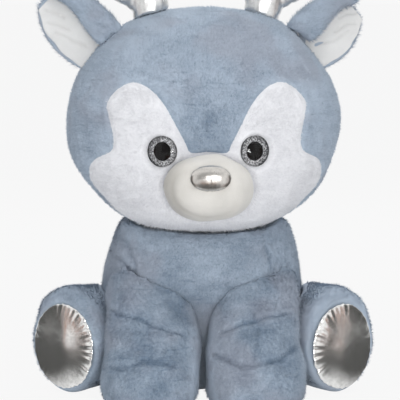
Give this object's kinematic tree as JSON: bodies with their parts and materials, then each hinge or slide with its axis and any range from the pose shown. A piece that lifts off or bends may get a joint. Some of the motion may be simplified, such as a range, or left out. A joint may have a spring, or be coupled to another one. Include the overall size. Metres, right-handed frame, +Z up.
{
  "type": "plush toy",
  "caption": "Sitting stuffed deer with a large round head, pale face panel, foil antlers, hoof soles and nose, domed plastic eyes, and a pellet bag in its seat.",
  "frame": {"origin": "middle of the seat panel's underside, on the surface the deer sits on", "axes": "+Z up, -Y the way the deer faces, +X the deer's own left"},
  "size_m": [0.3432, 0.287, 0.4491],
  "materials": {
    "plush": "long soft pile",
    "white_plush": "long soft pile",
    "velour": "short pile",
    "foil_cloth": "crinkled metallic foil",
    "stuffing": "packed fibre",
    "cotton": "plain weave",
    "clear_plastic": "polished clear",
    "glitter_film": "glitter under clear plastic",
    "black_plastic": "gloss",
    "washer_plastic": "moulded"
  },
  "bodies": {
    "body": {"torso": "plush", "seat_panel": "cotton", "pellet_bag": "cotton"},
    "neck": {"neck_wad": "stuffing"},
    "head": {"head": "plush", "face_panel": "white_plush", "muzzle": "velour", "nose": "foil_cloth", "antler_left": "foil_cloth", "antler_right": "foil_cloth", "eye_post_left": "black_plastic", "eye_film_left": "glitter_film", "eye_pupil_left": "black_plastic", "eye_dome_left": "clear_plastic", "eye_washer_left": "washer_plastic", "eye_post_right": "black_plastic", "eye_film_right": "glitter_film", "eye_pupil_right": "black_plastic", "eye_dome_right": "clear_plastic", "eye_washer_right": "washer_plastic"},
    "left_ear": {"ear_left": "plush", "ear_lining_left": "velour"},
    "right_ear": {"ear_right": "plush", "ear_lining_right": "velour"},
    "left_front_leg": {"front_leg_left": "plush"},
    "right_front_leg": {"front_leg_right": "plush"},
    "left_hind_leg": {"hind_leg_left": "plush", "foot_sole_left": "foil_cloth"},
    "right_hind_leg": {"hind_leg_right": "plush", "foot_sole_right": "foil_cloth"},
    "tail": {"tail": "plush"}
  },
  "joints": [
    {"name": "head_turn", "type": "hinge", "parent": "body", "child": "neck", "pos_m": [0, -0.028, 0.164], "axis": [0, 0, 1], "range_deg": [-12, 12], "stiffness_Nm_per_rad": 2},
    {"name": "head_nod", "type": "hinge", "parent": "neck", "child": "head", "pos_m": [0, -0.028, 0.262], "axis": [0.9987, 0.0506, 0], "range_deg": [-8, 4], "stiffness_Nm_per_rad": 3},
    {"name": "ear_left_fold", "type": "hinge", "parent": "head", "child": "left_ear", "pos_m": [0.10437, -0.02271, 0.34692], "axis": [-0.5439, -0.0276, 0.8387], "range_deg": [-45, 20], "stiffness_Nm_per_rad": 0.05},
    {"name": "ear_right_fold", "type": "hinge", "parent": "head", "child": "right_ear", "pos_m": [-0.10437, -0.03329, 0.34692], "axis": [-0.642, -0.0325, -0.766], "range_deg": [-25, 40], "stiffness_Nm_per_rad": 0.05},
    {"name": "front_leg_left_lift", "type": "hinge", "parent": "body", "child": "left_front_leg", "pos_m": [0.0495, -0.066, 0.136], "axis": [-1, 0, 0], "range_deg": [0, 35], "stiffness_Nm_per_rad": 0.4},
    {"name": "front_leg_right_lift", "type": "hinge", "parent": "body", "child": "right_front_leg", "pos_m": [-0.0495, -0.066, 0.136], "axis": [-1, 0, 0], "range_deg": [0, 35], "stiffness_Nm_per_rad": 0.4},
    {"name": "hind_leg_left_spread", "type": "hinge", "parent": "body", "child": "left_hind_leg", "pos_m": [0.085, 0.05, 0.0545], "axis": [0, 0, 1], "range_deg": [0, 30], "stiffness_Nm_per_rad": 0.4},
    {"name": "hind_leg_right_spread", "type": "hinge", "parent": "body", "child": "right_hind_leg", "pos_m": [-0.085, 0.05, 0.0545], "axis": [0, 0, -1], "range_deg": [0, 30], "stiffness_Nm_per_rad": 0.4},
    {"name": "tail_lift", "type": "hinge", "parent": "body", "child": "tail", "pos_m": [0, 0.072, 0.052], "axis": [1, 0, 0], "range_deg": [-25, 15], "stiffness_Nm_per_rad": 0.03}
  ]
}
